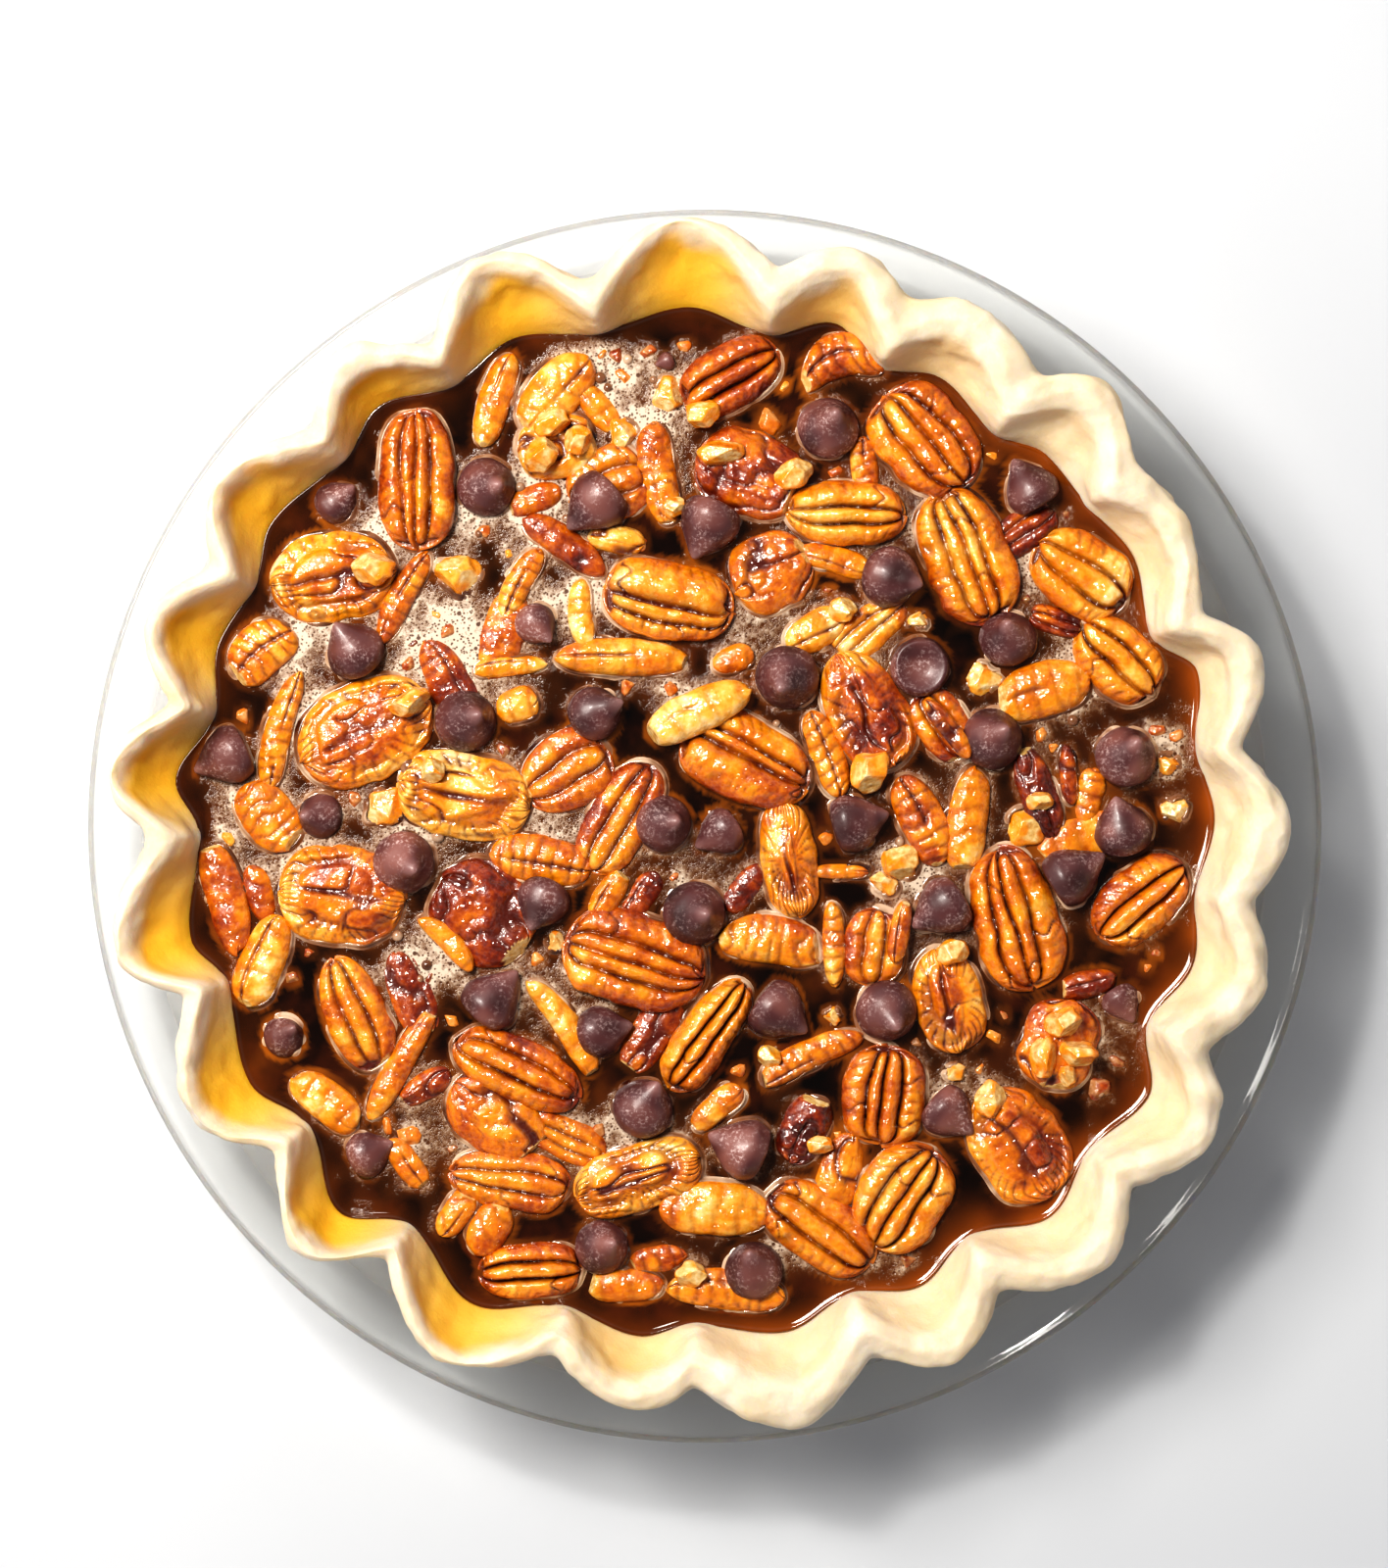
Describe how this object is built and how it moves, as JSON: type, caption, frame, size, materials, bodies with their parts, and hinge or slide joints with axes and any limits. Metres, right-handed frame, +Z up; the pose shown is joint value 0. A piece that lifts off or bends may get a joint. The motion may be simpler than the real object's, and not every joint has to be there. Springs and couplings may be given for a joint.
{
  "type": "pecan pie",
  "caption": "Unbaked chocolate chip pecan pie with a deeply fluted pastry rim, a glossy syrup filling and loose toppings, in its clear glass pie dish.",
  "frame": {"origin": "centre of the dish's flat base, on the surface it stands on", "axes": "+Z up out of the pie; +X and +Y lie in the base"},
  "size_m": [0.24, 0.24, 0.0454],
  "materials": {
    "glass": "clear pressed glass",
    "pastry": "raw rolled pastry, smooth and matte",
    "syrup": "wet brown syrup with foam, pecan pieces and chips in it",
    "pecan": "pecan half wet with syrup",
    "chocolate": "dark chocolate with a dusty bloom"
  },
  "bodies": {
    "root": {"dish": "glass", "crust": "pastry", "filling": "syrup", "chip_01": "chocolate", "chip_02": "chocolate", "chip_03": "chocolate", "chip_04": "chocolate", "chip_05": "chocolate", "chip_06": "chocolate", "chip_07": "chocolate", "chip_08": "chocolate", "chip_09": "chocolate", "chip_10": "chocolate", "chip_11": "chocolate", "chip_12": "chocolate", "chip_13": "chocolate", "chip_14": "chocolate", "chip_15": "chocolate", "chip_16": "chocolate", "chip_17": "chocolate", "chip_18": "chocolate", "chip_19": "chocolate", "chip_20": "chocolate", "chip_21": "chocolate", "chip_22": "chocolate", "chip_23": "chocolate", "chip_24": "chocolate", "chip_25": "chocolate", "chip_26": "chocolate", "chip_27": "chocolate", "chip_28": "chocolate", "chip_29": "chocolate", "chip_30": "chocolate", "pecan_01": "pecan", "pecan_02": "pecan", "pecan_03": "pecan", "pecan_04": "pecan", "pecan_05": "pecan", "pecan_06": "pecan", "pecan_07": "pecan", "pecan_08": "pecan", "pecan_09": "pecan", "pecan_10": "pecan", "pecan_11": "pecan", "pecan_12": "pecan", "pecan_13": "pecan", "pecan_14": "pecan", "pecan_15": "pecan", "pecan_16": "pecan", "pecan_17": "pecan", "pecan_18": "pecan", "pecan_19": "pecan", "pecan_20": "pecan", "pecan_21": "pecan", "pecan_22": "pecan", "pecan_23": "pecan", "pecan_24": "pecan", "pecan_25": "pecan", "pecan_26": "pecan", "pecan_27": "pecan"}
  },
  "joints": []
}
